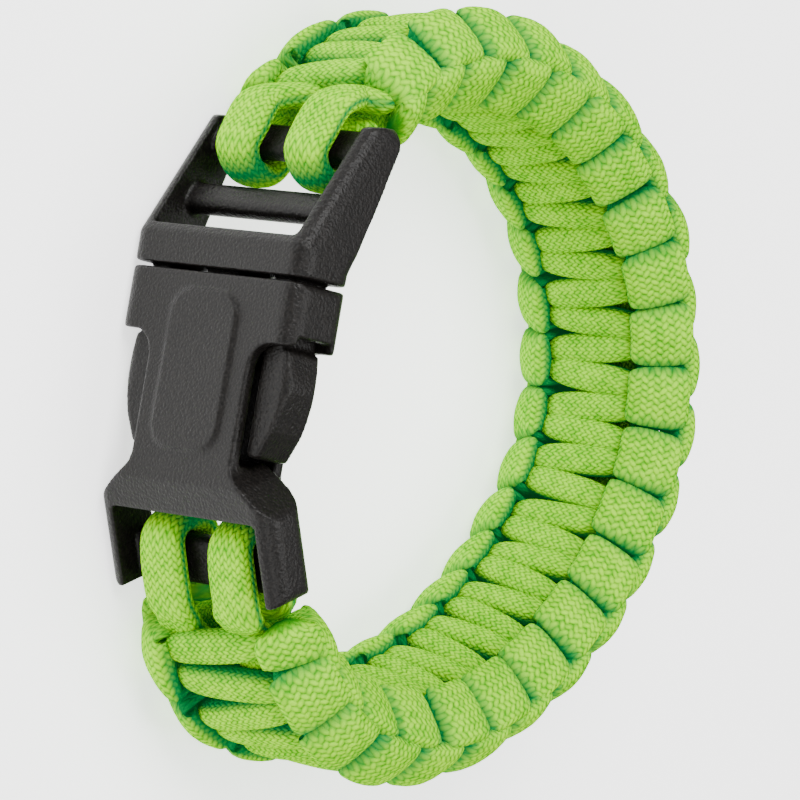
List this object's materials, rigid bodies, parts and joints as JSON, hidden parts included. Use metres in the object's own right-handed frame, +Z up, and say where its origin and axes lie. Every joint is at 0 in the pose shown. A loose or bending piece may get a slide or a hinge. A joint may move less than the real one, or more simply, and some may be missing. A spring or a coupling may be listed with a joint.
{
  "type": "paracord bracelet",
  "caption": "Knotted cord bracelet with a fastened side release buckle, lying on its side.",
  "frame": {"origin": "middle of the bracelet's outline, on the surface that the bracelet lies on", "axes": "+Z up along the loop's axis, -Y towards the buckle, +X from the buckle's plug to its socket"},
  "size_m": [0.0844, 0.077, 0.0242],
  "materials": {
    "cord": "woven sheath with a slight sheen",
    "buckle": "fine grain"
  },
  "bodies": {
    "root": {"buckle_socket": "buckle", "buckle_plug": "buckle", "core_cord_upper": "cord", "core_cord_lower": "cord", "weave_cord_outer": "cord", "weave_cord_inner": "cord"}
  },
  "joints": []
}
